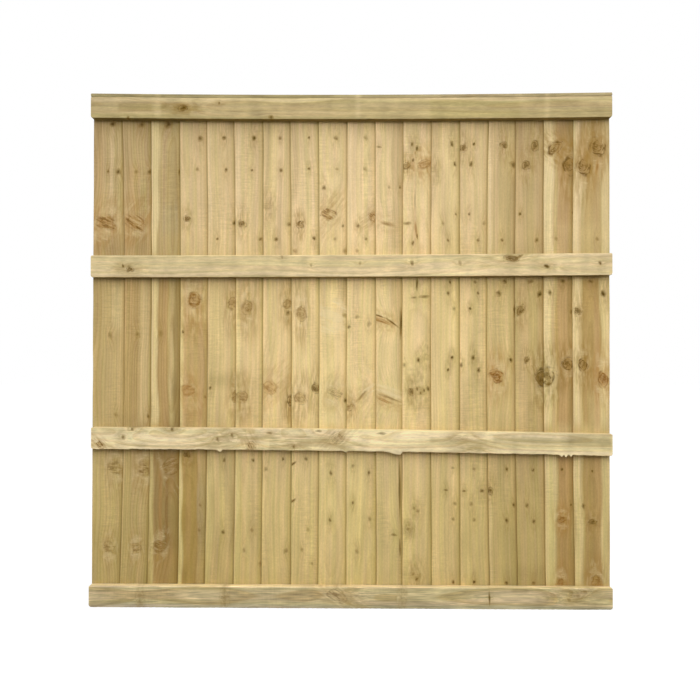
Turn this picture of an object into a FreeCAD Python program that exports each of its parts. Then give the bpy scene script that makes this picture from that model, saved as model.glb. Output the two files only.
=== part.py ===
import FreeCAD, Part
import math
import os

import Sketcher

# A closeboard fence panel: tapered upright boards, lapped and nailed to four rails, under a capping strip.
# X runs along the rails, Y from the rail side (-) to the board side (+), Z up from the panel's underside.
# X is zero at the middle of the rails, and Y at the middle of the capping strip.

Vector = FreeCAD.Vector
Placement = FreeCAD.Placement
Rotation = FreeCAD.Rotation
UP = Vector(0, 0, 1)

doc = FreeCAD.newDocument("closeboard_fence_panel")

# Driving dimensions, in millimetres. The mid rails were nailed on a little out of level, so each has
# the height of its underside at the left end and at the right end, as seen from the rail side.
driving = {
    "panel_width": 1830,
    "panel_height": 1806,
    "rail_height": 75,
    "rail_thickness": 38,
    "rail_arris": 3,
    "lower_mid_left": 555,
    "lower_mid_right": 536,
    "upper_mid_left": 1159,
    "upper_mid_right": 1168,
    "board_count": 18,
    "board_width": 125,
    "board_thick_edge": 11,
    "board_thin_edge": 5,
    "board_end_margin": 2.5,
    "cap_width": 60,
    "cap_thickness": 12,
    "cap_arris": 2.5,
    "nail_length": 40,
    "nail_diameter": 2.8,
    "nail_head_diameter": 7,
    "nail_head_thickness": 1.2,
    "nail_clearance": 0.05,
    "nail_lap_margin": 12,
    "nail_shank_side_count": 6,
    "nail_head_side_count": 12,
    "cap_nail_count": 7,
    "cap_nail_end_distance": 60,
}
sheet = doc.addObject("Spreadsheet::Sheet", "sizes")
for row, (alias, value) in enumerate(driving.items(), start=1):
    sheet.set(f"A{row}", alias)
    sheet.set(f"B{row}", str(value))
    sheet.setAlias(f"B{row}", alias)
doc.recompute()


def size(alias):
    return float(sheet.get(alias))


def add_sketch(body, name, role):
    # Sketch on one of the body's own origin planes
    plane = [feature for feature in body.Origin.OriginFeatures if feature.Role == role][0]
    sketch = body.newObject("Sketcher::SketchObject", name)
    sketch.AttachmentSupport = [(plane, "")]
    sketch.MapMode = "FlatFace"
    return sketch


def draw_outline(sketch, corners):
    # Closed outline of straight lines: each corner has a name, a start point and a formula for x and y
    lines = len(corners)
    points = [Vector(x, y, 0) for name, (x, y), formulas in corners]
    for i in range(lines):
        sketch.addGeometry(Part.LineSegment(points[i], points[(i + 1) % lines]), False)
    for i in range(lines):
        sketch.addConstraint(Sketcher.Constraint("Coincident", i, 2, (i + 1) % lines, 1))
    for i, (name, point, formulas) in enumerate(corners):
        for axis, value, formula in zip("XY", point, formulas):
            label = f"{name}_{axis.lower()}"
            index = sketch.addConstraint(Sketcher.Constraint(f"Distance{axis}", -1, 1, i, 1, value))
            sketch.renameConstraint(index, label)
            sketch.setExpression(f"Constraints.{label}", formula)


def pad_outline(body, sketch, formula):
    pad = body.newObject("PartDesign::Pad", f"{body.Name}_pad")
    pad.Profile = sketch
    pad.setExpression("Length", formula)
    doc.recompute()
    return pad


def ease_edges(body, pad, wanted, formula):
    # Rounds the arrises of the pad that the test picks
    names = [f"Edge{i}" for i, edge in enumerate(pad.Shape.Edges, start=1) if wanted(edge)]
    fillet = body.newObject("PartDesign::Fillet", f"{body.Name}_arris")
    fillet.Base = (pad, names)
    fillet.setExpression("Radius", formula)
    doc.recompute()


def cut_sockets(label, blank, sockets):
    # The finished timber: its blank with the nails' own holes taken out of it
    tool = doc.addObject("Part::Compound", f"{label}_sockets")
    tool.Links = sockets
    timber = doc.addObject("Part::Cut", label)
    timber.Label = label
    timber.Base = blank
    timber.Tool = tool
    return timber


# Where things lie, worked out from the driving dimensions
rail_length = size("panel_width")
rail_plane = size("rail_thickness") - size("cap_width") / 2
boards = int(size("board_count"))
boards_span = rail_length - 2 * size("board_end_margin")
cover = (boards_span - size("board_width")) / (boards - 1)
taper = math.atan((size("board_thick_edge") - size("board_thin_edge")) / size("board_width"))


def lean_on(neighbour_lean):
    # A board's thin edge meets the rails, and it lies on the board that it laps: either its own thick edge
    # rests on that board's face, or its back rests on that board's thin edge, whichever holds it higher
    thin = size("board_thin_edge")
    face = neighbour_lean + taper
    on_face = face + math.asin((thin * math.cos(taper) - cover * math.sin(face)) / size("board_width"))
    on_edge = math.atan2(thin * math.cos(neighbour_lean), cover - thin * math.sin(neighbour_lean))
    return max(on_face, on_edge)


# Rails: underside height at the left and right ends
top_underside = "sizes.panel_height - sizes.cap_thickness - sizes.rail_height"
rail_undersides = {
    "top_rail": (top_underside, top_underside),
    "upper_mid_rail": ("sizes.upper_mid_left", "sizes.upper_mid_right"),
    "lower_mid_rail": ("sizes.lower_mid_left", "sizes.lower_mid_right"),
    "bottom_rail": ("0", "0"),
}
end_heights = {
    "top_rail": (size("panel_height") - size("cap_thickness") - size("rail_height"),) * 2,
    "upper_mid_rail": (size("upper_mid_left"), size("upper_mid_right")),
    "lower_mid_rail": (size("lower_mid_left"), size("lower_mid_right")),
    "bottom_rail": (0, 0),
}


def rail_middle(rail, x):
    # Height of a rail's centre line at x
    left, right = end_heights[rail]
    along = (x + rail_length / 2) / rail_length
    return left + (right - left) * along + size("rail_height") / 2


def add_rail_blank(rail):
    # Elevation with plumb ends, padded towards the rail side, with the four long arrises eased
    left_formula, right_formula = rail_undersides[rail]
    left, right = end_heights[rail]
    half = rail_length / 2
    height = size("rail_height")
    left_end = "-sizes.panel_width / 2"
    right_end = "sizes.panel_width / 2"
    body = doc.addObject("PartDesign::Body", f"{rail}_blank")
    sketch = add_sketch(body, f"{rail}_elevation", "XZ_Plane")
    draw_outline(sketch, [
        ("left_bottom", (-half, left), (left_end, left_formula)),
        ("right_bottom", (half, right), (right_end, right_formula)),
        ("right_top", (half, right + height), (right_end, f"{right_formula} + sizes.rail_height")),
        ("left_top", (-half, left + height), (left_end, f"{left_formula} + sizes.rail_height")),
    ])
    pad = pad_outline(body, sketch, "sizes.rail_thickness")
    ease_edges(body, pad, lambda edge: edge.Length >= rail_length, "sizes.rail_arris")
    body.setExpression("Placement.Base.y", "sizes.rail_thickness - sizes.cap_width / 2")
    return body


def add_cap_blank():
    # Plan, padded up from the rail and the board ends, with its two upper arrises eased
    half = rail_length / 2
    side = size("cap_width") / 2
    body = doc.addObject("PartDesign::Body", "capping_strip_blank")
    sketch = add_sketch(body, "capping_strip_plan", "XY_Plane")
    draw_outline(sketch, [
        ("left_back", (-half, -side), ("-sizes.panel_width / 2", "-sizes.cap_width / 2")),
        ("right_back", (half, -side), ("sizes.panel_width / 2", "-sizes.cap_width / 2")),
        ("right_front", (half, side), ("sizes.panel_width / 2", "sizes.cap_width / 2")),
        ("left_front", (-half, side), ("-sizes.panel_width / 2", "sizes.cap_width / 2")),
    ])
    pad = pad_outline(body, sketch, "sizes.cap_thickness")
    middle = size("cap_thickness") / 2
    ease_edges(body, pad, lambda edge: edge.Length >= rail_length and edge.CenterOfMass.z > middle,
               "sizes.cap_arris")
    body.setExpression("Placement.Base.z", "sizes.panel_height - sizes.cap_thickness")
    return body


def add_board_blank(label):
    # Tapered section, thin edge at x = 0 and its back on y = 0, padded up to the capping strip
    width = size("board_width")
    thick = size("board_thick_edge")
    thin = size("board_thin_edge")
    body = doc.addObject("PartDesign::Body", f"{label}_blank")
    sketch = add_sketch(body, f"{label}_section", "XY_Plane")
    draw_outline(sketch, [
        ("thin_back", (0, 0), ("0", "0")),
        ("thick_back", (width, 0), ("sizes.board_width", "0")),
        ("thick_front", (width, thick), ("sizes.board_width", "sizes.board_thick_edge")),
        ("thin_front", (0, thin), ("0", "sizes.board_thin_edge")),
    ])
    pad_outline(body, sketch, "sizes.panel_height - sizes.cap_thickness")
    return body


def add_prism(name, sides_formula, radius_formula, height_formula, base_formula):
    prism = doc.addObject("Part::Prism", name)
    prism.setExpression("Polygon", sides_formula)
    prism.setExpression("Circumradius", radius_formula)
    prism.setExpression("Height", height_formula)
    prism.setExpression("Placement.Base.z", base_formula)
    return prism


def fuse(name, base, tool):
    fusion = doc.addObject("Part::Fuse", name)
    fusion.Base = base
    fusion.Tool = tool
    return fusion


# The nail: its head seats on z = 0 and its shank points down. A few flat sides stand for its round section.
shank_sides = "sizes.nail_shank_side_count"
head_sides = "sizes.nail_head_side_count"
nail = fuse(
    "nail",
    add_prism("nail_shank", shank_sides, "sizes.nail_diameter / 2",
              "sizes.nail_length", "-sizes.nail_length"),
    add_prism("nail_head", head_sides, "sizes.nail_head_diameter / 2",
              "sizes.nail_head_thickness", "0"),
)
socket = fuse(
    "nail_socket",
    add_prism("socket_shank", shank_sides, "sizes.nail_diameter / 2 + sizes.nail_clearance",
              "sizes.nail_length + sizes.nail_clearance", "-sizes.nail_length - sizes.nail_clearance"),
    add_prism("socket_head", head_sides, "sizes.nail_head_diameter / 2 + sizes.nail_clearance",
              "sizes.nail_head_thickness + sizes.nail_clearance", "0"),
)


def add_link(name, target, place):
    link = doc.addObject("App::Link", name)
    link.LinkedObject = target
    link.Placement = place
    return link


def add_nail_group(label, nails):
    group = doc.addObject("Part::Compound", label)
    group.Label = label
    group.Links = nails
    return group


# Boards, laid from the right: the first lies flat on the rails, and each of the others leans on the last
board_places = {}
lean = 0
for number in range(boards, 0, -1):
    thin_edge = -boards_span / 2 + (number - 1) * cover
    base = Vector(thin_edge, rail_plane, 0)
    board_places[f"feather_board_{number:02}"] = Placement(base, Rotation(UP, math.degrees(lean)))
    lean = lean_on(lean)

# Nails: one through each board at each rail, square to the board's face and clear of the board that it laps
nail_across = cover - size("nail_lap_margin")
nail_seat = size("board_thin_edge") + nail_across * math.tan(taper)
face_normal = Vector(-math.sin(taper), math.cos(taper), 0)
rail_nails = {rail: [] for rail in end_heights}
rail_sockets = {rail: [] for rail in end_heights}
board_sockets = {board: [] for board in board_places}
for board in sorted(board_places):
    place = board_places[board]
    for rail in end_heights:
        x = place.multVec(Vector(nail_across, nail_seat, 0)).x
        seat = Placement(Vector(nail_across, nail_seat, rail_middle(rail, x)), Rotation(UP, face_normal))
        nail_place = place.multiply(seat)
        hole = add_link(f"{board}_{rail}_socket", socket, nail_place)
        rail_nails[rail].append(add_link(f"{board}_{rail}_nail", nail, nail_place))
        rail_sockets[rail].append(hole)
        board_sockets[board].append(hole)

# Cap nails: in a row down through the capping strip into the middle of the top rail, their heads flush
cap_nails = []
cap_sockets = []
cap_nail_gaps = int(size("cap_nail_count")) - 1
cap_nail_step = (rail_length - 2 * size("cap_nail_end_distance")) / cap_nail_gaps
cap_nail_seat = size("panel_height") - size("nail_head_thickness")
for i in range(cap_nail_gaps + 1):
    x = -rail_length / 2 + size("cap_nail_end_distance") + i * cap_nail_step
    seat = Vector(x, rail_plane - size("rail_thickness") / 2, cap_nail_seat)
    cap_nails.append(add_link(f"cap_nail_{i + 1}", nail, Placement(seat, Rotation())))
    cap_sockets.append(add_link(f"cap_socket_{i + 1}", socket, Placement(seat, Rotation())))
rail_sockets["top_rail"] += cap_sockets

# The finished pieces
pieces = []
for board in sorted(board_places):
    blank = add_board_blank(board)
    blank.Placement = board_places[board]
    pieces.append(cut_sockets(board, blank, board_sockets[board]))
for rail in end_heights:
    pieces.append(cut_sockets(rail, add_rail_blank(rail), rail_sockets[rail]))
    pieces.append(add_nail_group(f"{rail}_nails", rail_nails[rail]))
pieces.append(cut_sockets("capping_strip", add_cap_blank(), cap_sockets))
pieces.append(add_nail_group("cap_nails", cap_nails))
doc.recompute()

failed = [item.Label for item in doc.Objects if {"Invalid", "Error"} & set(item.State)]
failed += [piece.Label for piece in pieces if piece.Shape.isNull() or not piece.Shape.isValid()]
if failed:
    raise RuntimeError(f"these did not build: {failed}")

os.makedirs("parts", exist_ok=True)
for piece in pieces:
    piece.Shape.exportStep(f"parts/{piece.Label}.step")
    print(piece.Label, "solids", len(piece.Shape.Solids), "volume mm3", round(piece.Shape.Volume, 1))
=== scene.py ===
import math
import bpy
import numpy as np
from mathutils import Matrix, Vector


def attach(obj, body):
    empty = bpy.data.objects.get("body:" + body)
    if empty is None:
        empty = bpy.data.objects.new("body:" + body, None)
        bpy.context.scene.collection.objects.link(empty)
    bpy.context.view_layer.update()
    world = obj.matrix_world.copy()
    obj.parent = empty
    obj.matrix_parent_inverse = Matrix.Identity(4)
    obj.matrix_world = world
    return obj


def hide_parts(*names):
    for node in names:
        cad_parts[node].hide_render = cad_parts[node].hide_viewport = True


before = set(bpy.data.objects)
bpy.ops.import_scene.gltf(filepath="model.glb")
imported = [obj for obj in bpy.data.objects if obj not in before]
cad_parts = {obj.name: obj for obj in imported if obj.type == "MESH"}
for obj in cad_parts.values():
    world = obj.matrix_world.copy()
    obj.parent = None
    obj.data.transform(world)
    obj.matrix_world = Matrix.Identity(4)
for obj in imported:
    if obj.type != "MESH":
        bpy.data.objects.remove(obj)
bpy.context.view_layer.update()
scene = bpy.context.scene
scene.view_settings.view_transform = "Standard"
print("frame loaded with", len(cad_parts), "nodes")

# Where the photograph was taken from: nearly square on to the rail side, a little above half height
viewpoint = {
    "place": (0.046327, -3.392, 0.867710),  # m
    "yaw": 0.0139501,  # radians, and the two below
    "pitch": 0.0104470,
    "roll": 0.00178448,
    "lens": 49.41,  # mm, on the sensor below
    "sensor": 36.0,
    "pixels": 700,
}
pixelSize = 0.003547  # m that one pixel covers on the panel


def standCamera(view):
    turn = (
        Matrix.Rotation(view["yaw"], 4, "Z")
        @ Matrix.Rotation(math.pi / 2 + view["pitch"], 4, "X")
        @ Matrix.Rotation(view["roll"], 4, "Z")
    )
    camera = bpy.data.objects.new("panelCamera", bpy.data.cameras.new("panelCamera"))
    camera.data.lens = view["lens"]
    camera.data.sensor_width = view["sensor"]
    camera.matrix_world = Matrix.Translation(view["place"]) @ turn
    scene.collection.objects.link(camera)
    scene.camera = camera
    return np.array(turn.to_3x3())


cameraTurn = standCamera(viewpoint)


# A pixel's sight line leaves the camera through the image plane, as far as the upright plane y = depth
def panelPoint(pixelX, pixelY, depth):
    half = viewpoint["pixels"] / 2
    focal = viewpoint["pixels"] * viewpoint["lens"] / viewpoint["sensor"]
    across = (np.asarray(pixelX, float) - half) / focal
    up = (half - np.asarray(pixelY, float)) / focal
    sight = np.tensordot(cameraTurn, np.stack([across, up, -np.ones_like(across)]), 1)
    reach = (depth - viewpoint["place"][1]) / sight[1]
    return viewpoint["place"][0] + reach * sight[0], viewpoint["place"][2] + reach * sight[2]


# Screen bytes to the linear values that shaders use
def screenColour(red, green, blue):
    value = np.array([red, green, blue]) / 255
    return np.where(value <= 0.04045, value / 12.92, ((value + 0.055) / 1.055) ** 2.4)


# Timber tones as they look under the plain light of this scene
timberTones = {
    "straw": screenColour(228, 203, 151),
    "bone": screenColour(251, 232, 187),
    "olive": screenColour(184, 160, 111),
    "sap": screenColour(228, 207, 156),
    "cream": screenColour(227, 207, 163),
    "heart": screenColour(176, 143, 92),
    "umber": screenColour(152, 124, 80),
    "rust": screenColour(186, 141, 90),
    "gold": screenColour(188, 157, 90),
    "moss": screenColour(178, 163, 104),
    "grey": screenColour(190, 174, 132),
    "stain": screenColour(150, 130, 82),
    # A pale tone painted on rail tops as light from above
    "topLit": screenColour(243, 223, 178),
    "ash": screenColour(206, 190, 146),
    "dull": screenColour(168, 154, 116),
    "stone": screenColour(188, 178, 152),
}


wanderWaves = {"count": 5, "slowest": 0.4, "fastest": 1.6, "height": 2.6}


# A slow wander: sine waves of seeded pitch and phase added up, from about -1 to 1
def wander(seed, first, second, firstPitch, secondPitch):
    draw = np.random.default_rng(seed)
    total = 0.0
    for wave in range(wanderWaves["count"]):
        turns = draw.uniform(wanderWaves["slowest"], wanderWaves["fastest"], 2) * draw.choice([-1, 1], 2)
        cycles = turns[0] * first / firstPitch + turns[1] * second / secondPitch
        total = total + np.sin(2 * np.pi * cycles + draw.uniform(0, 6.28))
    return total / wanderWaves["height"]


# A smooth step from 0 to 1 as a value passes a limit, over a stretch of the given softness
def rise(value, limit, softness):
    t = np.clip((value - limit) / softness + 0.5, 0, 1)
    return t * t * (3 - 2 * t)


# Knots as the photograph shows them: half width in pixels and height over width; the strengths of the dark
# core, the brown body and the halo, then of the dark rim, the torn grain and the strokes; and how rusty it is
knotKinds = {
    "pin": (2.0, 1.35, 0.80, 0.60, 0.18, 0.0, 0.0, 0.0, 0.20),
    "deep": (2.3, 1.3, 1.05, 0.75, 0.24, 0.0, 0.0, 0.0, 0.12),
    "faint": (2.1, 1.3, 0.38, 0.45, 0.12, 0.0, 0.0, 0.0, 0.30),
    "bead": (4.3, 1.15, 0.62, 0.76, 0.28, 0.60, 0.25, 0.10, 0.22),
    "eye": (6.4, 1.1, 0.12, 0.85, 0.45, 0.92, 0.40, 0.20, 0.36),
    "cloud": (6.4, 1.15, 0.16, 0.74, 0.46, 0.85, 0.25, 0.15, 0.35),
    "burr": (8.5, 1.0, 0.0, 0.66, 0.46, 0.95, 0.45, 0.25, 0.15),
    "ring": (5.0, 1.3, 0.16, 0.66, 0.34, 0.42, 0.60, 0.20, 0.55),
    "brown": (6.6, 1.0, 0.15, 0.88, 0.40, 0.42, 0.55, 0.40, 0.80),
    "amber": (6.8, 0.8, 0.45, 0.95, 0.36, 0.65, 0.60, 0.25, 1.00),
    "swirl": (7.0, 0.9, 0.04, 0.38, 0.22, 0.32, 0.65, 0.45, 0.55),
    "torn": (10.0, 0.75, 0.0, 0.74, 0.30, 0.25, 0.50, 0.75, 0.70),
    "smudge": (4.5, 0.8, 0.0, 0.40, 0.28, 0.0, 0.20, 0.15, 0.10),
    "dash": (3.6, 0.4, 0.50, 0.65, 0.10, 0.0, 0.0, 0.0, 0.15),
    "ridge": (12.0, 0.14, 0.50, 0.60, 0.18, 0.0, 0.50, 0.0, 0.55),
    "spike": (9.0, 0.20, 0.90, 0.70, 0.08, 0.0, 0.50, 0.05, 0.40),
    "flare": (12.0, 0.35, -0.70, 0.0, 0.0, 0.0, 1.00, 0.0, 0.0),
    "blush": (9.0, 0.30, 0.0, 0.72, 0.25, 0.15, 0.30, 0.32, 1.00),
    "crack": (1.2, 9.0, 0.95, 0.85, 0.08, 0.0, 0.0, 0.0, 0.05),
    "resin": (1.2, 7.0, 0.40, 0.65, 0.12, 0.0, 0.0, 0.0, 0.95),
    "notch": (2.4, 0.9, 0.75, 0.60, 0.05, 0.0, 0.0, 0.0, 0.05),
}
knotVariety = {"smallBelow": 3, "size": 0.22, "height": 0.18, "core": 0.22}


# Listed pixels become knots on the upright plane: place, half sizes and slant in metres and radians, and
# their strengths; a small knot differs from the next by a seeded share of its size and strength
def gatherKnots(knots, depth):
    rows = []
    for kind, places in knots.items():
        size, tall, core, body, halo, rim, torn, strokes, warm = knotKinds[kind]
        for place in places:
            draw = np.random.default_rng(int(7 * place[0] + 13 * place[1]))
            vary = draw.uniform(-1, 1, 3) * (size < knotVariety["smallBelow"])
            half = (place[2] if len(place) > 2 else size) * pixelSize * (1 + knotVariety["size"] * vary[0])
            height = half * (place[3] if len(place) > 3 else tall) * (1 + knotVariety["height"] * vary[1])
            slant = math.radians(place[4]) if len(place) > 4 else 0.0
            x, z = panelPoint(place[0], place[1], depth)
            strength = 1 + knotVariety["core"] * vary[2]
            rows.append((x, z, half, height, slant, core * strength, body, halo, rim, torn, strokes, warm))
    for corner in (9.0, 9.5):  # two without ink, far off the panel, so that each face finds a nearest pair
        rows.append((corner, corner, 0.01, 0.01) + (0,) * 8)
    return np.array(rows, float).T


plankCorner = {"supports": (0.0, 0.12, 0.45, 1.0), "evenFrom": 2.4, "sharpAngle": 40}  # easing radii; degrees


# Columns across a plank: even steps, with close support points that carry the eased corners
def plankColumns(width, ease, count):
    corner = ease * np.array(plankCorner["supports"])
    first = ease * plankCorner["evenFrom"]
    return np.concatenate([corner, np.linspace(first, width - first, count), width - corner[::-1]])


# How far an eased corner falls back from the face: a quarter circle of the easing radius
def cornerFall(across, width, ease):
    inside = np.clip(ease - np.minimum(across, width - across), 0, ease)
    return ease - np.sqrt(ease**2 - inside**2)


# The section is a near row and a far row of columns, closed into a loop and carried along the stations
def plankGrid(columns, nearDepth, farDepth, stations):
    across = np.repeat(np.concatenate([columns, columns[::-1]])[:, None], len(stations), 1)
    depth = np.repeat(np.concatenate([nearDepth, farDepth[::-1]])[:, None], len(stations), 1)
    along = np.repeat(stations[None, :], 2 * len(columns), 0)
    return across, depth, along


# Quads round the loop from station to station, and quads from the near row to the far row at both ends
def plankFaces(loopCount, stationCount):
    ring = np.arange(loopCount)[:, None] * stationCount
    step = np.arange(stationCount - 1)[None, :]
    first = ring + step
    second = np.roll(ring, -1, 0) + step
    sides = np.stack([first, second, second + 1, first + 1], -1).reshape(-1, 4)
    column = np.arange(loopCount // 2 - 1)
    near = column * stationCount
    far = (loopCount - 1 - column) * stationCount
    start = np.stack([near, far, far - stationCount, near + stationCount], -1)
    return np.concatenate([sides, start, start[:, ::-1] + stationCount - 1])


# The bake map folds the length into two strips side by side, with the two end faces in a band at the right
bakeLayout = {
    "left": 0.004, "strip": 0.478, "arcInset": 0.015, "lengthInset": 0.01,
    "endLeft": 0.968, "endWidth": 0.026, "endFrom": 0.02, "endTo": 0.47,
}


# Round the section is one way of a strip, measured along its outline, and up the plank the other
def bakeMap(across, depth, along):
    sheet = bakeLayout
    loopCount, stationCount = along.shape
    mid = stationCount // 2
    outline = np.stack([across[:, mid], depth[:, mid]])
    path = np.hypot(*(np.roll(outline, -1, 1) - outline))
    arc = np.concatenate([[0], np.cumsum(path)]) / path.sum()
    reach = (along[0] - along[0, 0]) / (along[0, -1] - along[0, 0])
    strip = (np.arange(stationCount - 1) >= mid).astype(float)
    split = reach[mid]
    low = np.where(strip > 0, (reach[:-1] - split) / (1 - split), reach[:-1] / split)
    high = np.where(strip > 0, (reach[1:] - split) / (1 - split), reach[1:] / split)
    left = np.broadcast_to(arc[:-1, None], (loopCount, stationCount - 1))
    right = np.broadcast_to(arc[1:, None], (loopCount, stationCount - 1))
    u = np.stack([left, right, right, left], -1) * (1 - 2 * sheet["arcInset"]) + sheet["arcInset"]
    u = (u + strip[None, :, None]) * sheet["strip"] + sheet["left"]
    v = np.broadcast_to(np.stack([low, low, high, high], -1), u.shape)
    v = v * (1 - 2 * sheet["lengthInset"]) + sheet["lengthInset"]
    sides = np.stack([u, v], -1).reshape(-1, 4, 2)
    share = np.linspace(sheet["endFrom"], sheet["endTo"], loopCount // 2)
    nearSide = np.full(loopCount // 2 - 1, sheet["endLeft"])
    farSide = nearSide + sheet["endWidth"]
    endU = np.stack([nearSide, farSide, farSide, nearSide], -1)
    endV = np.stack([share[:-1], share[:-1], share[1:], share[1:]], -1)
    start = np.stack([endU, endV], -1)
    return np.concatenate([sides, start, start[:, ::-1] + np.array([0.0, 0.5])])


# For each face the two knots nearest to it; its corners are placed by those knots' own half sizes
def knotCorners(points, faces, knots):
    x, z, half, height, slant = knots[:5]
    corners = points[faces][:, :, [0, 2]]
    middle = corners.mean(1)
    right, up = middle[:, :1] - x, middle[:, 1:] - z
    gap = ((right * np.cos(slant) + up * np.sin(slant)) / half) ** 2
    gap = gap + ((up * np.cos(slant) - right * np.sin(slant)) / height) ** 2
    nearest = np.argpartition(gap, 1, 1)[:, :2]
    gaps = np.take_along_axis(gap, nearest, 1)
    nearest = np.where(gaps[:, :1] > gaps[:, 1:], nearest[:, ::-1], nearest)
    layers = []
    for pick in (nearest[:, 0], nearest[:, 1]):
        right = corners[:, :, 0] - x[pick][:, None]
        up = corners[:, :, 1] - z[pick][:, None]
        cosine, sine = np.cos(slant[pick])[:, None], np.sin(slant[pick])[:, None]
        first = np.clip((right * cosine + up * sine) / half[pick][:, None], -40, 40)
        second = np.clip((up * cosine - right * sine) / height[pick][:, None], -40, 40)
        warm = np.repeat(knots[11][pick][:, None], 4, 1)
        inks = np.repeat(knots[5:8].T[pick][:, None, :], 4, 1)
        marks = np.repeat(knots[8:11].T[pick][:, None, :], 4, 1)
        layers.append((np.stack([first, second, warm], -1), inks, marks))
    return layers


# How the grain goes: the reach of its swelling round a knot, across and along, in knot sizes, how strong that
# is, and the largest knot that counts, m; how far the grain bends and tilts, m, and over what length
grainHabit = {
    "swellAcross": 1.5, "swellAlong": 3.2, "swell": 1.3, "swellMost": 0.012,
    "bend": 0.004, "bendPitch": 0.9, "tilt": 0.006, "tiltPitch": 0.7, "acrossPitch": 9.0,
}


# The grain swells round a knot: a bell shape over it, longer along the grain than across
def grainSwell(x, z, knots, upright):
    wide, tall = grainHabit["swellAcross"], grainHabit["swellAlong"]
    if not upright:
        wide, tall = tall, wide
    reach = np.minimum(knots[2], knots[3] * 3)
    right = (x[:, None] - knots[0]) / (wide * reach)
    up = (z[:, None] - knots[1]) / (tall * reach)
    size = np.minimum(reach, grainHabit["swellMost"]) * grainHabit["swell"]
    return (np.exp(-right**2 - up**2) * size).sum(1)


toneWander = {"amount": 0.05, "across": 0.09, "along": 0.7, "slip": 0.0035}  # a share, and m


# Bands of another tone, each between pixel limits with soft edges, laid over a plank's own tone
def tintPlank(points, base, bands, depth, soft, seed):
    x, z = points[:, 0], points[:, 2]
    cloud = wander(seed, x, z, toneWander["across"], toneWander["along"])
    colour = base * (1 + toneWander["amount"] * cloud)[:, None]
    slipX = toneWander["slip"] * wander(seed + 1, x, z, 0.3, 0.35) * (soft[0] < soft[1])
    slipZ = toneWander["slip"] * wander(seed + 2, x, z, 0.35, 0.3) * (soft[0] > soft[1])
    for tone, amount, left, right, top, bottom in bands:
        leftX, topZ = panelPoint(left, top, depth)
        rightX, bottomZ = panelPoint(right, bottom, depth)
        weight = amount * rise(x + slipX, leftX, soft[0]) * rise(-x - slipX, -rightX, soft[0])
        weight = weight * rise(z + slipZ, bottomZ, soft[1]) * rise(-z - slipZ, -topZ, soft[1])
        colour = colour + weight[:, None] * (timberTones[tone] - colour)
    return colour


def flatPoints(x, y, z):
    return np.stack([x.ravel(), y.ravel(), z.ravel()], -1)


def blend(first, second, share):
    return first * (1 - share) + second * share


def addAttribute(mesh, name, kind, domain, key, values):
    layer = mesh.attributes.new(name, kind, domain)
    layer.data.foreach_set(key, np.ascontiguousarray(values, np.float32).ravel())


# A finished mesh becomes a piece that rides in place of its node; edges over the angle stay sharp
def seatPiece(mesh, node, material, sharpAngle):
    mesh.polygons.foreach_set("use_smooth", np.ones(len(mesh.polygons), bool))
    mesh.set_sharp_from_angle(angle=math.radians(sharpAngle))
    mesh.materials.append(material)
    piece = bpy.data.objects.new(mesh.name, mesh)
    scene.collection.objects.link(piece)
    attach(piece, "root")
    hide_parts(node)
    return piece


# A plank's grid becomes a closed mesh with its bake map, tint, grain and knots
def makePlank(node, grid, flat, tint, look, knots, upright, material):
    across, depth, along = grid
    faces = plankFaces(*along.shape)
    uv = bakeMap(across, depth, along)
    a, b, c, d = (flat[faces[:, corner]] for corner in range(4))
    volume = (a * np.cross(b, c)).sum() + (a * np.cross(c, d)).sum()
    if volume < 0:
        faces, uv = faces[:, ::-1], uv[:, ::-1]
    mesh = bpy.data.meshes.new(node + "_sawn")
    mesh.from_pydata(flat.tolist(), [], faces.tolist())
    mesh.uv_layers.new(name="OFBake").data.foreach_set("uv", np.ascontiguousarray(uv, np.float32).ravel())
    alpha = np.full((len(flat), 1), look.get("lines", 1.0))
    addAttribute(mesh, "tint", "FLOAT_COLOR", "POINT", "color", np.hstack([np.clip(tint, 0.01, 1), alpha]))
    seed = sum(ord(letter) * (place + 3) for place, letter in enumerate(node))
    pithAcross, pithDeep, pithDrift = look["pith"]
    habit = grainHabit
    bend = habit["bend"] * wander(seed + 5, along, across, habit["bendPitch"], habit["acrossPitch"])
    tilt = habit["tilt"] * wander(seed + 6, along, across, habit["tiltPitch"], habit["acrossPitch"])
    tilt = tilt + pithDrift * (along - along.mean())
    outward = [across - pithAcross / 1000 + bend, depth - pithDeep / 1000 + tilt]
    grain = np.stack([*outward, along + seed % 97], -1)
    addAttribute(mesh, "grain", "FLOAT_VECTOR", "POINT", "vector", grain)
    swell = grainSwell(flat[:, 0], flat[:, 2], knots, upright)
    addAttribute(mesh, "swell", "FLOAT", "POINT", "value", swell)
    for layer, parts in zip(("Near", "Next"), knotCorners(flat, faces, knots)):
        for name, values in zip(("knot", "ink", "mark"), parts):
            addAttribute(mesh, name + layer, "FLOAT_VECTOR", "CORNER", "vector", values)
    return seatPiece(mesh, node, material, plankCorner["sharpAngle"])


# Shader nodes are chained as sums: a wire is one node's output, and adding to it makes the node that does so
class Wire:
    def __init__(self, socket):
        self.socket = socket

    def __add__(self, other):
        return sums("ADD", self, other)

    def __sub__(self, other):
        return sums("SUBTRACT", self, other)

    def __rsub__(self, other):
        return sums("SUBTRACT", other, self)

    def __mul__(self, other):
        return sums("MULTIPLY", self, other)

    def __truediv__(self, other):
        return sums("DIVIDE", self, other)


def feed(socket, value):
    if isinstance(value, Wire):
        socket.id_data.links.new(value.socket, socket)
    else:
        socket.default_value = value


# A new node in the tree of its first wire, with its settings and its leading inputs filled in
def addNode(kind, values, **settings):
    tree = next(value.socket.id_data for value in values if isinstance(value, Wire))
    node = tree.nodes.new(kind)
    for name, setting in settings.items():
        setattr(node, name, setting)
    for socket, value in zip(node.inputs, values):
        feed(socket, value)
    return node


def sums(operation, *values):
    return Wire(addNode("ShaderNodeMath", values, operation=operation).outputs[0])


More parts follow.
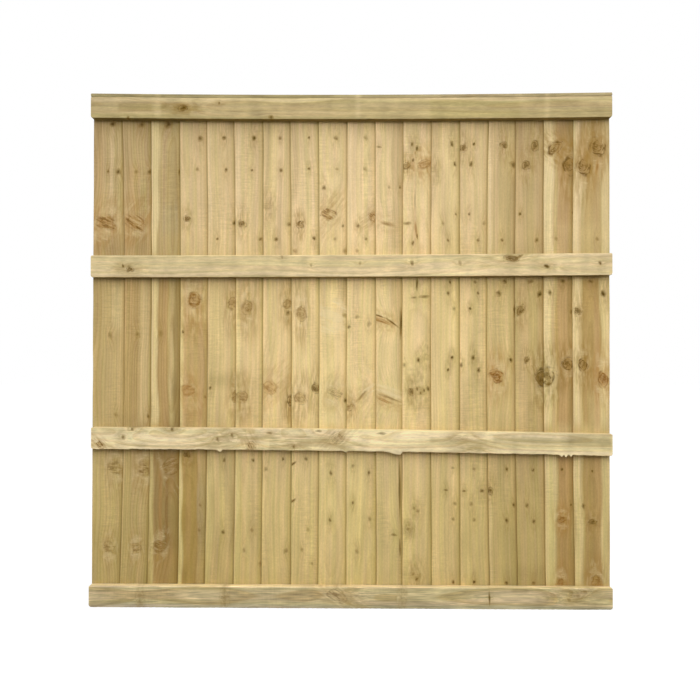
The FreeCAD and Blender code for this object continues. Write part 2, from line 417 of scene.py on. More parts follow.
def tinted(colour, factor):
    return Wire(addNode("ShaderNodeVectorMath", (colour, factor), operation="MULTIPLY").outputs[0])


def ramp(value, low, high, outLow=0.0, outHigh=1.0):
    limits = (value, low, high, outLow, outHigh)
    return Wire(addNode("ShaderNodeMapRange", limits, interpolation_type="SMOOTHSTEP").outputs[0])


def noise(place, stretch, detail=2.0, roughness=0.5, output="Fac"):
    values = (tinted(place, stretch), 0.0, 1.0, detail, roughness)
    return Wire(addNode("ShaderNodeTexNoise", values).outputs[output])


def mixColour(factor, first, second):
    node = addNode("ShaderNodeMix", (factor,), data_type="RGBA")
    feed(node.inputs[6], first)
    feed(node.inputs[7], second)
    return Wire(node.outputs[2])


def attribute(tree, name, output="Vector"):
    node = tree.nodes.new("ShaderNodeAttribute")
    node.attribute_name = name
    return Wire(node.outputs[output])


def splitWire(wire, kind="ShaderNodeSeparateXYZ"):
    return [Wire(output) for output in addNode(kind, (wire,)).outputs]


def joinWires(*wires):
    return Wire(addNode("ShaderNodeCombineXYZ", wires).outputs[0])


def withAlpha(colour):
    return tuple(float(value) for value in colour) + (1.0,)


def startMaterial(name):
    material = bpy.data.materials.new(name)
    material.use_nodes = True
    return material, material.node_tree, material.node_tree.nodes["Principled BSDF"]


# What latewood, the painted shade at a lap, drip stains and painted shade below a rail, and the darker boards
# above one do to the timber's red, green and blue
stainAndShadeTints = {
    "late": (0.80, 0.73, 0.60), "lap": (0.71, 0.665, 0.45),
    "dripAndShade": (0.62, 0.58, 0.40), "darkAbove": (0.82, 0.86, 0.91),
}


# How often each pattern repeats in a metre: outward from the pith, across the timber and along it
grainPitch = {
    "drift": (14, 6, 1.3), "streak": (70, 110, 0.55), "hue": (46, 60, 0.6), "fibre": (420, 160, 11),
    "sawWhere": (9, 9, 3.5), "mottle": (22, 22, 9), "drips": (240, 300, 4),
}
grainDepth = 0.0008  # m of relief
# How far drips and a faint painted shade run below a rail, m; where the thin painted shade line right under
# it fades and how strong it is; how far the boards above one turn darker and how strong that is
railStainsAndShade = {"dripShadeReach": 0.075, "shadeLine": (0.001, 0.007, 0.9), "darkAboveReach": 0.085, "darkAbove": 0.7}


# Sawn treated softwood. Rings are the distance from the pith, swollen round knots; latewood is a dark line
# near the end of each ring; bands and streaks are slow noise over the rings, in shade and in hue; fibre is
# noise drawn out along the grain, and saw marks are noise drawn out across it
def sawnTimber(name, finish):
    material, tree, shader = startMaterial(name)
    across, deep, along = splitWire(attribute(tree, "grain"))
    radius = sums("SQRT", across * across + deep * deep) + attribute(tree, "swell", "Fac")
    place = joinWires(radius, across, along)
    drift = noise(place, grainPitch["drift"], 2)
    ring = sums("FRACT", radius * finish["ringsPerMetre"] + drift * finish["drift"])
    late = ramp(ring, 0.35, 0.92) * ramp(ring, 0.92, 1.0, 1.0, 0.0)
    hue = ramp(noise(place, grainPitch["hue"], 2, 0.5), 0.34, 0.66)
    fibre = noise(place, grainPitch["fibre"], 3, 0.65)
    saw = noise(place, (18, 26, finish["sawPerMetre"]), 2, 0.6)
    sawWhere = ramp(noise(place, grainPitch["sawWhere"], 1), 0.46, 0.66)
    shades = {
        "band": noise(place, finish["bandPitch"], 3, 0.6),
        "streak": noise(place, grainPitch["streak"], 3, 0.6),
        "fibre": fibre,
        "speck": noise(place, finish["speckPitch"], 2, 0.7),
        "mottle": noise(place, grainPitch["mottle"], 2, 0.55),
    }
    shade = (saw - 0.5) * (sawWhere * finish["saw"]) + 1.0
    for part, value in shades.items():
        shade = shade * (value * (2 * finish[part]) + (1.0 - finish[part]))
    colour = tinted(attribute(tree, "tint", "Color"), shade)
    colour = mixColour(hue, tinted(colour, finish["yellowSide"]), tinted(colour, finish["pinkSide"]))
    lateInk = late * (attribute(tree, "tint", "Alpha") * finish["late"])
    colour = mixColour(lateInk, colour, tinted(colour, stainAndShadeTints["late"]))
    if finish["lapped"]:
        colour = stainAndShadeBoards(tree, colour, place, finish)
    colour, knotRelief = drawKnots(tree, colour, along, finish)
    feed(shader.inputs["Base Color"], colour)
    bump = tree.nodes.new("ShaderNodeBump")
    bump.inputs["Strength"].default_value = finish["relief"]
    bump.inputs["Distance"].default_value = grainDepth
    feed(bump.inputs["Height"], fibre * 0.9 + late * 0.35 + saw * (sawWhere * 0.5) - knotRelief * 0.6)
    feed(shader.inputs["Normal"], Wire(bump.outputs[0]))
    feed(shader.inputs["Roughness"], fibre * -0.16 + 0.92)
    shader.inputs["Specular IOR Level"].default_value = 0.06
    return material


# Painted shade at a lap, by the distance from the next board's edge: a soft ramp and a thin line. Below a
# rail, drip stains of noise over a faint painted shade, with a thin painted shade line right under it; above
# a rail the boards turn darker and greyer
def stainAndShadeBoards(tree, colour, place, finish):
    lap = sums("ABSOLUTE", attribute(tree, "lap", "Fac"))
    # Painted shade: a soft ramp and a thin dark line where the next board's edge shades the lap
    lapShade = ramp(lap, 0.0, finish["lapShadeWidth"], finish["lapShade"], 0.0)
    colour = mixColour(lapShade, colour, tinted(colour, stainAndShadeTints["lap"]))
    lapShadeLine = ramp(lap, 0.0008, finish["lapWidth"], finish["lap"], 0.0)
    colour = mixColour(lapShadeLine, colour, finish["lapShadeDark"])
    below, above = splitWire(attribute(tree, "rails"))[:2]
    # Drip stains of noise over a faint painted shade below each rail, and a thin painted shade line right
    # under it
    drips = ramp(noise(place, grainPitch["drips"], 2, 0.6), 0.46, 0.64) * 0.38 + 0.06
    runsOverShade = ramp(below, 0.0, railStainsAndShade["dripShadeReach"], 1.0, 0.0) * drips
    dripAndShadeMask = sums("MAXIMUM", runsOverShade, ramp(below, *railStainsAndShade["shadeLine"], 0.0))
    colour = mixColour(dripAndShadeMask * finish["dripAndShade"], colour, tinted(colour, stainAndShadeTints["dripAndShade"]))
    # The boards turn darker and greyer above each rail
    darkAbove = ramp(above, 0.0, railStainsAndShade["darkAboveReach"], railStainsAndShade["darkAbove"], 0.0)
    return mixColour(darkAbove, colour, tinted(colour, stainAndShadeTints["darkAbove"]))


# Knots by the distance from their middle, bent by noise: a brown body, dark arcs from noise over the distance
# and the direction, a dark core, strokes across the body, a halo along the grain, and pale torn grain
def drawKnots(tree, colour, along, finish):
    relief = 0.0
    haloAcross, haloUp = finish["haloAcross"], finish["haloUp"]
    for layer in ("Next", "Near"):
        spotX, spotZ, warm = splitWire(attribute(tree, "knot" + layer))
        core, body, halo = splitWire(attribute(tree, "ink" + layer))
        rim, torn, strokes = splitWire(attribute(tree, "mark" + layer))
        ownPlace = joinWires(spotX, spotZ, along * 1.7)
        bend = splitWire(noise(ownPlace, (0.55, 0.55, 1.0), 1.5, output="Color"), "ShaderNodeSeparateColor")
        lines = noise(ownPlace, (1.1, 3.6, 1.0), 2, 0.6)
        grit = noise(ownPlace, (1.9, 1.9, 1.0), 3, 0.65)
        flow = noise(ownPlace, (2.4 * haloAcross, 2.4 * haloUp, 1.0), 2, 0.6)
        right = spotX + (bend[0] * 1.2 - 0.6)
        up = spotZ + (bend[1] * 1.2 - 0.6)
        wide, high = right * right, up * up
        away = sums("SQRT", wide + high)
        turn = joinWires(right / away, up / away, away * 3.4 + along * 1.7)
        arcs = ramp(noise(turn, (0.8, 0.8, 1.0), 2, 0.6), 0.42, 0.64)
        away = away + (grit - 0.5) * 0.8
        drawn = sums("SQRT", wide * haloAcross + high * haloUp)
        patchy = ramp(grit * 0.35 + bend[2], 0.58, 0.76)
        bodyMask = ramp(away, 0.65, 1.25, 1.0, 0.0)
        rimMask = ramp(away, 0.2, 0.8, 0.45, 0.85) * ramp(away, 0.95, 1.3, 1.0, 0.0) * arcs
        coreMask = ramp(away, 0.0, 0.85, 1.0, 0.0)
        darkLines = ramp(lines, 0.50, 0.64)
        paleLines = ramp(lines, 0.48, 0.34)
        beside = ramp(away, 0.85, 1.15) * ramp(drawn, 1.0, 1.6, 1.0, 0.0)
        beside = beside * (1.0 - patchy) * (paleLines * 0.5 + 0.5)
        paleFlow = ramp(drawn, 0.9, 1.3) * ramp(drawn, 1.3, 2.0, 1.0, 0.0) * ramp(flow, 0.48, 0.34)
        paleMask = sums("MAXIMUM", beside, bodyMask * paleLines * strokes)
        paleMask = sums("MAXIMUM", paleMask, bodyMask * (core * -1.0))
        paleMask = sums("MAXIMUM", paleMask, paleFlow * 0.4)
        fillInk = bodyMask * ((arcs * 0.30 + 0.65) * (grit * 1.2 + 0.4)) * body
        haloInk = ramp(drawn, 0.7, 2.8, 1.0, 0.0) * halo * ramp(flow, 0.34, 0.66, 0.35, 1.6)
        darkInk = bodyMask * darkLines * strokes * 0.8 + (coreMask * core + rimMask * rim)
        darkInk = sums("MAXIMUM", sums("MINIMUM", darkInk, 0.92), 0.0)
        fillTone = mixColour(warm, finish["knotOlive"], finish["knotRust"])
        darkTone = mixColour(warm, finish["knotDark"], finish["rustDark"])
        colour = mixColour(sums("MAXIMUM", fillInk, haloInk), colour, fillTone)
        colour = mixColour(darkInk, colour, darkTone)
        colour = mixColour(paleMask * torn * 0.7, colour, finish["tornPale"])
        relief = darkInk + relief
    return colour, relief


knotColours = {
    "knotDark": withAlpha(screenColour(84, 65, 18)),
    "rustDark": withAlpha(screenColour(118, 76, 30)),
    "knotOlive": withAlpha(screenColour(140, 113, 50)),
    "knotRust": withAlpha(screenColour(180, 130, 62)),
    "tornPale": withAlpha(screenColour(240, 220, 172)),
    # The dark of the painted shade line at a lap
    "lapShadeDark": withAlpha(screenColour(100, 78, 24)),
}
boardFinish = {
    **knotColours, "ringsPerMetre": 120.0, "drift": 3.0, "sawPerMetre": 230.0, "bandPitch": (60, 30, 0.8),
    "speckPitch": (170, 170, 130), "band": 0.18, "streak": 0.18, "fibre": 0.08, "speck": 0.14, "mottle": 0.12,
    "saw": 0.40, "late": 0.22, "relief": 0.5, "yellowSide": (0.97, 0.99, 0.86), "pinkSide": (1.03, 1.0, 0.99),
    "haloAcross": 1.0, "haloUp": 0.2, "lapped": True, "lap": 0.37, "lapWidth": 0.009, "lapShade": 0.48,
    "lapShadeWidth": 0.024, "dripAndShade": 0.9,
}
railFinish = {
    **knotColours, "ringsPerMetre": 70.0, "drift": 1.8, "sawPerMetre": 160.0, "bandPitch": (44, 26, 1.1),
    "speckPitch": (150, 150, 36), "band": 0.34, "streak": 0.22, "fibre": 0.14, "speck": 0.26, "mottle": 0.30,
    "saw": 0.10, "late": 0.40, "relief": 0.6, "yellowSide": (0.97, 0.99, 0.89), "pinkSide": (1.03, 1.0, 1.0),
    "haloAcross": 0.2, "haloUp": 1.0, "lapped": False,
}
weatheredFinish = {
    **railFinish, "bandPitch": (60, 30, 1.1), "speckPitch": (220, 220, 10), "band": 0.26, "streak": 0.26,
    "fibre": 0.50, "speck": 0.60, "mottle": 0.24, "saw": 0.20, "late": 0.50, "relief": 0.8,
    "yellowSide": (0.97, 0.99, 0.88), "pinkSide": (1.05, 1.0, 1.02),
}
boardTimber = sawnTimber("boardTimber", boardFinish)
railTimber = sawnTimber("railTimber", railFinish)
weatheredTimber = sawnTimber("weatheredTimber", weatheredFinish)
print("timber finishes mixed")

# Feather-edge boards: the sizes that all share, in metres
featherBoards = {
    "cover": 0.100, "width": 0.125, "thin": 0.005, "thick": 0.011, "firstEdge": -0.9125, "plane": 0.008,
    "top": 1.794, "headGap": 0.0004, "unevenFoot": 0.0012, "reach": 0.9148, "ease": 0.0009,
    "edgeWander": 0.0006, "columns": 28, "stations": 180, "readDepth": 0.011,
    "swayHeights": (1.475, 0.900, 0.310), "swayLimit": 0.011, "lastEdge": 0.002,
    "bandSoft": (0.006, 0.05), "edgePale": 0.04, "edgeWidth": 0.006,
}
# Painted light up the boards: height and reach of the brightest band and its gain, painted shade under the
# cap and near the ground, and the hue shifts; m and shares
paintedLightSpread = {
    "middle": 0.88, "reach": 0.50, "gain": 0.15, "topFrom": 1.58, "topFall": 0.05, "topSoft": 0.2,
    "lowFrom": 0.35, "lowFall": 0.03, "yellowBelow": 0.45, "yellow": 0.11, "coolAbove": 1.25, "cool": 0.09,
    "soft": 0.3,
}
panelSag = {"depth": 0.0065, "halfLength": 0.915}  # the cap, top rail and board tops hang in the middle
farAway = 9.0  # m, where there is no rail to measure from

# Each board: age from fresh straw 0 to weathered olive 1; sway is how far it stands off its even place at
# three heights, mm; pith is where the heart of its log lay, mm across and deep, and its drift up the board.
# Bands are tone, amount, and left, right, top and bottom pixels. Knots are places by pixel, then own size,
# height over width and slant in degrees where they differ from their kind
boardLooks = {
    1: {
        "age": 0.74, "lines": 2.3, "sway": (-2.2, -2.2, -2.2), "pith": (-12, 40, 0.010),
        "bands": [("heart", 0.35, 93, 102, 120, 255), ("sap", 0.45, 110, 114, 125, 215),
                  ("sap", 0.35, 117, 120, 125, 230), ("moss", 0.35, 117, 122, 180, 215),
                  ("rust", 0.15, 97, 117, 214, 238), ("umber", 0.35, 97, 122, 234, 256),
                  ("heart", 0.25, 93, 101, 280, 420), ("sap", 0.45, 112, 122, 283, 330),
                  ("straw", 0.26, 90, 123, 452, 590)],
        "knots": {"pin": [(112.5, 124.5, 3.6, 1.2), (108, 171.5), (118, 172, 2.8, 1.6)],
                  "faint": [(110, 336, 3), (116, 415, 3)], "torn": [(106, 223, 9.5, 0.75, -22)],
                  "swirl": [(115, 468, 7.5), (109, 548, 5.5, 0.9)]},
    },
    2: {
        "age": 0.84, "lines": 2.3, "sway": (6, 11, 4), "pith": (137, 40, -0.010),
        "bands": [("heart", 0.3, 127, 140, 165, 214), ("moss", 0.4, 141, 148, 183, 212),
                  ("rust", 0.15, 124, 145, 212, 238), ("umber", 0.35, 124, 147, 232, 256),
                  ("heart", 0.4, 122, 138, 280, 425), ("sap", 0.3, 141, 149, 280, 420),
                  ("straw", 0.22, 121, 150, 452, 590)],
        "knots": {"pin": [(142, 124.5, 3.8, 1.2), (149.5, 172, 3, 1.4), (148, 416, 3)],
                  "faint": [(136, 172), (138, 335, 3.2)], "torn": [(134, 222, 10.5, 0.7, -32)],
                  "swirl": [(143, 469, 7.5), (136, 548, 5, 0.9)]},
    },
    3: {
        "age": 0.86, "lines": 2.0, "sway": (5.5, 6.3, -0.5), "pith": (74, 24, 0.006),
        "bands": [("sap", 0.8, 150.5, 158.5, 118, 256), ("straw", 0.22, 157, 180, 118, 165),
                  ("umber", 0.18, 164, 179, 150, 235), ("grey", 0.35, 162, 178, 205, 235),
                  ("sap", 0.75, 151, 157.5, 276, 425), ("heart", 0.6, 158, 168, 276, 428),
                  ("sap", 0.3, 169, 173, 330, 420), ("umber", 0.55, 174, 180, 280, 428),
                  ("umber", 0.4, 171, 180, 385, 428), ("sap", 0.6, 150.5, 152.7, 452, 585),
                  ("umber", 0.62, 154.5, 180, 450, 552), ("heart", 0.68, 154.5, 180, 550, 586),
                  ("rust", 0.5, 159.5, 161.5, 470, 545), ("umber", 0.9, 165, 168, 470, 545)],
        "knots": {"pin": [(168.5, 125, 3.8, 1.2)], "crack": [(179, 172, 1.2, 4)], "faint": [(161, 333, 3)],
                  "swirl": [(171, 466.5, 9, 0.95, 15), (160, 546, 7, 0.8, -15)]},
    },
    4: {
        "age": 0.38, "sway": (7.4, 9.7, 5.8), "pith": (30, 70, 0.012),
        "bands": [("sap", 0.4, 180, 182, 280, 425), ("heart", 0.6, 183.5, 207, 320, 428),
                  ("sap", 0.7, 179.5, 181.4, 452, 586), ("gold", 0.75, 182.5, 197, 452, 586),
                  ("grey", 0.5, 197, 207, 470, 560), ("stone", 0.35, 197, 206, 485, 540),
                  ("heart", 0.45, 182.5, 207, 445, 590)],
        "knots": {"pin": [(200, 138, 2.8), (183, 332)],
                  "bead": [(187, 219, 3.2, 1.1), (187, 455, 3.8, 0.8)],
                  "faint": [(205, 397), (197, 169), (200, 505), (199, 530)],
                  "brown": [(194, 301, 7.4, 1.15)], "blush": [(188, 391, 7.5, 0.9, 20)]},
    },
    5: {
        "age": 0.36, "lines": 1.2, "sway": (5, 7.3, 2.7), "pith": (100, 60, -0.012),
        "bands": [("sap", 0.5, 208, 211, 120, 255), ("stain", 0.35, 209, 234, 374, 386),
                  ("sap", 0.45, 207.5, 211, 470, 585), ("heart", 0.15, 207, 235, 540, 590)],
        "knots": {"deep": [(224, 138)],
                  "pin": [(226, 170), (234.5, 223, 2.2), (217.5, 239), (210.5, 388), (224, 460),
                          (223, 532)], "ring": [(232, 304, 4.6, 1.5), (237, 396.5, 6, 1.1)]},
    },
    6: {
        "age": 0.30, "lines": 1.2, "sway": (2.9, 7.2, 4.1), "pith": (25, 60, 0.012),
        "bands": [("sap", 0.5, 236, 239.5, 120, 585), ("stain", 0.22, 236, 265, 378, 425)],
        "knots": {"deep": [(254, 138)], "pin": [(252, 170), (260.5, 239), (253, 460)],
                  "faint": [(252, 530), (244, 550), (260.5, 564)], "bead": [(242, 224, 3.6)],
                  "ring": [(248, 308, 6.2, 1.3), (242, 396.5, 6.2, 1.05)]},
    },
    7: {
        "age": 0.20, "sway": (3.4, 3.5, 1.3), "pith": (-15, 55, 0.008),
        "bands": [("olive", 0.3, 265, 272, 120, 240)],
        "knots": {"deep": [(276, 239)],
                  "pin": [(280, 138), (281, 170), (289, 224, 2), (288, 313), (283, 459)],
                  "smudge": [(268, 206, 5)], "blush": [(270, 387.5, 8.5, 0.95, -40)],
                  "cloud": [(291, 400, 4.6, 1.4)], "ring": [(287, 304, 4.4, 1.4)],
                  "faint": [(266, 469), (286, 551)]},
    },
    8: {
        "age": 0.08, "sway": (1.5, 5.6, 5), "pith": (140, 55, -0.008),
        "bands": [("olive", 0.4, 292, 298, 120, 200), ("gold", 0.2, 311, 314.5, 310, 380),
                  ("sap", 0.25, 290, 319, 285, 425)],
        "knots": {"pin": [(309, 138), (309, 169), (314, 238.5), (306, 459)], "cloud": [(300, 225, 3.4)],
                  "bead": [(315.5, 388.5, 4, 1.5)], "ring": [(301, 314, 5.4, 1.5), (300, 398.5, 6, 1.15)],
                  "spike": [(293, 464, 4, 0.4, 40), (293, 501, 4, 0.4, 40)],
                  "faint": [(308, 530), (295, 251.5), (302, 550), (312, 564)]},
    },
    9: {
        "age": 0.03, "sway": (1.4, 3.7, 2.2), "pith": (40, 80, 0.014),
        "bands": [("olive", 0.35, 338, 346, 279, 300), ("sap", 0.6, 318, 347, 380, 425),
                  ("sap", 0.22, 318, 347, 452, 520)],
        "knots": {"pin": [(336, 138), (324, 188), (343, 226, 1.8), (345.5, 400.5, 2, 1.5), (331, 473),
                          (330, 520)], "faint": [(344.5, 315), (345, 251), (337, 169), (335, 239)],
                  "torn": [(328, 215, 7, 0.9, -35)], "swirl": [(335, 393, 7, 0.7, -20)],
                  "flare": [(332, 316, 13, 0.45, -20)]},
    },
    10: {
        "age": 0.06, "sway": (0.9, 0.2, -0.3), "pith": (88, 80, -0.014),
        "bands": [("sap", 0.4, 348, 351, 120, 585), ("straw", 0.4, 346, 376, 555, 590)],
        "knots": {"pin": [(358, 226, 2), (366, 239), (349, 327), (369, 473), (353, 503)],
                  "torn": [(372.5, 217, 4.5, 1.0, -50)], "ridge": [(362, 395.5, 9, 0.2, 47)],
                  "flare": [(368, 389, 7, 0.25, 32)], "ring": [(350, 407, 4.5, 1.0)],
                  "faint": [(369, 324), (357, 317), (365, 169), (370, 519.5), (353, 466), (366, 138),
                            (357, 251), (357, 552)]},
    },
    11: {
        "age": 0.10, "sway": (1.8, 3.5, 6), "pith": (150, 45, 0.010),
        "bands": [("olive", 0.5, 392, 402, 120, 250), ("heart", 0.25, 391, 399, 279, 325),
                  ("sap", 0.35, 377, 391, 276, 330), ("grey", 0.2, 377, 399, 340, 425),
                  ("grey", 0.18, 376, 400, 455, 585)],
        "knots": {"dash": [(379, 147), (394, 535)], "faint": [(389, 187)], "pin": [(400, 187)],
                  "spike": [(392, 322.6, 9.5, 0.12, -37), (379, 316, 8, 0.12, -20)],
                  "ridge": [(386, 223.5, 9, 0.25, -14), (388.5, 397.5, 14, 0.13, -22),
                            (381.5, 321.6, 8, 0.12, -20)],
                  "blush": [(383, 321.4, 10, 0.24, -22), (384, 400.5, 9, 0.2, -24)],
                  "flare": [(390, 393.5, 12, 0.2, -23)],
                  "crack": [(401, 325, 1.6, 8), (399.5, 486, 1.4, 24), (400, 549, 1.1, 9)]},
    },
    12: {
        "age": 0.10, "sway": (-1.1, -3.1, -2.5), "pith": (60, 70, -0.006),
        "bands": [("rust", 0.08, 413, 419, 205, 245)],
        "knots": {"deep": [(412, 144), (417, 148)],
                  "pin": [(416.5, 579), (413, 160), (413, 243), (418, 360), (428, 389, 2, 1.6),
                          (417, 389, 1.9), (420.5, 393, 1.4), (424, 390.5, 1.6)],
                  "faint": [(414, 508), (404, 365), (408, 529), (418, 511), (413, 574)],
                  "cloud": [(406, 166, 4.6, 0.7)], "brown": [(424, 164, 8, 0.55, 12)],
                  "dash": [(407.5, 223.4, 4.8, 0.36), (424.5, 296.5, 6, 0.3), (414, 297.5, 3, 0.4)],
                  "resin": [(416, 229, 1.6, 5.5, 7)],
                  "smudge": [(426, 357), (419, 391, 9, 0.6), (409, 529, 4, 0.6), (416, 576, 6, 0.7)],
                  "bead": [(411, 391.5, 3.4, 1.1)],
                  "crack": [(415, 200, 0.5, 26), (417.2, 236, 1.1, 3.4, 7), (417, 284, 1.2, 5)]},
    },
    13: {
        "age": 0.22, "sway": (-1, -1.7, 0.7), "pith": (110, 65, 0.008),
        "bands": [("olive", 0.4, 431, 442, 118, 150)],
        "knots": {"deep": [(448, 370), (452, 144), (452, 357.5)],
                  "pin": [(455, 164), (456, 214), (448, 240), (450, 282), (448, 293), (446, 490, 2.4, 0.8),
                          (453, 582)],
                  "faint": [(443, 223), (454, 308.5), (453, 468), (455, 503.5), (453, 519)],
                  "smudge": [(434, 170)]},
    },
    14: {
        "age": 0.30, "sway": (0.2, 0.1, 1.8), "pith": (15, 65, -0.008),
        "bands": [("stain", 0.18, 458, 487, 378, 425)],
        "knots": {"deep": [(471, 164), (474, 144), (470, 308.5), (478.5, 370, 2.8), (473, 357.5),
                           (474, 582)],
                  "pin": [(469, 214), (478, 240), (475, 282), (478, 293), (461, 365), (464, 491, 2.4, 0.8),
                          (482, 491, 2.6, 0.8)], "faint": [(474, 520), (484, 223), (474, 469), (471, 504)],
                  "bead": [(463, 148, 4.2, 1.0)]},
    },
    15: {
        "age": 0.60, "sway": (-1.5, -4.1, 1.7), "pith": (120, 50, 0.010),
        "bands": [("sap", 0.55, 487.5, 491.5, 120, 255), ("olive", 0.5, 500, 514, 150, 250),
                  ("sap", 0.5, 489, 492, 490, 584)],
        "knots": {"deep": [(511, 360)],
                  "pin": [(513, 164, 3.2), (502, 240), (505, 281.5, 3.6, 0.8), (499, 293.5, 3.6, 1.0),
                          (507, 469), (514, 505), (507, 520.5), (506.5, 583)],
                  "amber": [(496.5, 375.5, 7.8, 0.85)],
                  "bead": [(504, 145, 3.6, 1.25), (490, 490.5, 3.6, 1.1)], "crack": [(514.5, 311, 1.2, 5)]},
    },
    16: {
        "age": 0.80, "sway": (-3.8, -5.3, 0.5), "pith": (5, 50, -0.010),
        "bands": [("umber", 0.35, 516, 523, 118, 165), ("straw", 0.2, 515, 546, 495, 565)],
        "knots": {"deep": [(540, 294, 3), (520, 214)], "burr": [(546, 377, 8.8, 1.05)],
                  "bead": [(526, 165, 4.4, 1.1), (521, 310.5, 4.6, 1.1), (535, 145.5, 4.2, 1.5),
                           (527, 360, 3), (540.5, 378.5, 4.6, 1.5, 30)],
                  "pin": [(537, 240), (531, 281.5, 4, 0.8), (533, 470), (527, 505), (534, 521),
                          (534, 583)]},
    },
    17: {
        "age": 0.70, "sway": (-4.6, -4.5, 0.5), "pith": (112, 30, 0.010),
        "bands": [("sap", 0.85, 543.5, 553, 118, 256), ("heart", 0.6, 558, 572, 172, 225),
                  ("heart", 0.35, 558, 572, 225, 255), ("heart", 0.6, 556, 572, 120, 180),
                  ("sap", 0.8, 543.5, 552, 276, 425), ("heart", 0.68, 556, 572, 276, 425),
                  ("sap", 0.8, 545, 556, 452, 586), ("rust", 0.45, 558, 573, 452, 586),
                  ("heart", 0.4, 558, 573, 452, 586)],
        "knots": {"deep": [(550, 293, 2.8), (563, 281.5, 4, 0.8)],
                  "eye": [(554.5, 148.5, 8, 0.66, 50), (568.5, 364.5, 5.8, 1.05)],
                  "ring": [(561, 583, 4.5, 1.1)], "burr": [(548, 377, 8, 1.05)],
                  "dash": [(549, 383.5, 5.5, 0.45, 35)], "cloud": [(569.5, 166.5, 6.8, 1.3)],
                  "pin": [(573, 213), (571.5, 312, 2.6), (562, 469.5), (571, 505)], "faint": [(556, 239)],
                  "brown": [(562.5, 520, 5, 0.75)]},
    },
    18: {
        "age": 0.65, "sway": (-1.2, -2.9, 1.8), "pith": (62, 30, -0.010),
        "bands": [("sap", 0.75, 573, 580, 118, 256), ("heart", 0.45, 584, 600, 178, 225),
                  ("heart", 0.2, 584, 600, 225, 255), ("sap", 0.5, 601, 608, 118, 256),
                  ("heart", 0.35, 582, 603, 120, 180), ("sap", 0.75, 573, 579.5, 276, 425),
                  ("heart", 0.72, 582, 600, 276, 425), ("heart", 0.3, 582, 602, 276, 312),
                  ("sap", 0.3, 588, 608, 392, 425), ("sap", 0.5, 600, 608, 276, 425),
                  ("sap", 0.75, 574.5, 582, 452, 586), ("heart", 0.7, 584, 601, 452, 586),
                  ("sap", 0.6, 602, 609, 452, 586)],
        "knots": {"deep": [(603, 294, 3.2)], "ring": [(596, 583, 6, 1.1)],
                  "eye": [(597.5, 147, 8, 1.08), (583, 166.5, 7.4, 1.16), (583, 364.7, 6, 1.0)],
                  "resin": [(597, 167, 1.3, 6, -8)], "faint": [(597, 239)],
                  "pin": [(590.5, 281.5, 4, 0.8), (592, 471), (583, 506)], "amber": [(603.5, 379, 7, 1.15)],
                  "bead": [(592, 522, 4.2, 0.75), (577.5, 311.5, 4.6, 1.0)]},
    },
}


# How far the middle of the panel's top hangs: a parabola from nothing at the ends
def topSag(x):
    return panelSag["depth"] * np.clip(1 - (x / panelSag["halfLength"]) ** 2, 0, 1)


def boardTaper(boards):
    return math.atan((boards["thick"] - boards["thin"]) / boards["width"])


def boardThickness(boards, across):
    return boards["thin"] + (boards["thick"] - boards["thin"]) * across / boards["width"]


# The last board lies flat on the rails; each board before it leans back until it rests on its neighbour's
# face, or on its neighbour's thin edge where that comes first
def boardLeans(boards, count):
    thin, cover, taper = boards["thin"], boards["cover"], boardTaper(boards)
    leans = [0.0]
    for board in range(count - 1):
        face = leans[0] + taper
        onFace = face + math.asin((thin * math.cos(taper) - cover * math.sin(face)) / boards["width"])
        onEdge = math.atan2(thin * math.cos(leans[0]), cover - thin * math.sin(leans[0]))
        leans.insert(0, max(onFace, onEdge))
    return leans


# A board's drift off its even place: a parabola up the board through the three read offsets
def boardSway(look, z, boards):
    bow = np.polyfit(boards["swayHeights"], np.array(look["sway"]) / 1000, 2)
    return np.clip(np.polyval(bow, z), -boards["swayLimit"], boards["swayLimit"])


# Painted light on the boards: a bell of brightness up the panel, brightest at half height, with painted
# shade under the cap and near the ground; low down the colour turns yellower and high up bluer
def paintedLightByHeight(z, spread):
    gain = 1 + spread["gain"] * np.exp(-(((z - spread["middle"]) / spread["reach"]) ** 2))
    gain = gain * (1 - spread["topFall"] * rise(z, spread["topFrom"], spread["topSoft"]))
    gain = gain * (1 - spread["lowFall"] * rise(-z, -spread["lowFrom"], spread["soft"]))
    blue = 1 - spread["yellow"] * rise(-z, -spread["yellowBelow"], spread["soft"])
    blue = blue + spread["cool"] * rise(z, spread["coolAbove"], spread["soft"])
    return np.stack([gain, gain, gain * blue], -1)


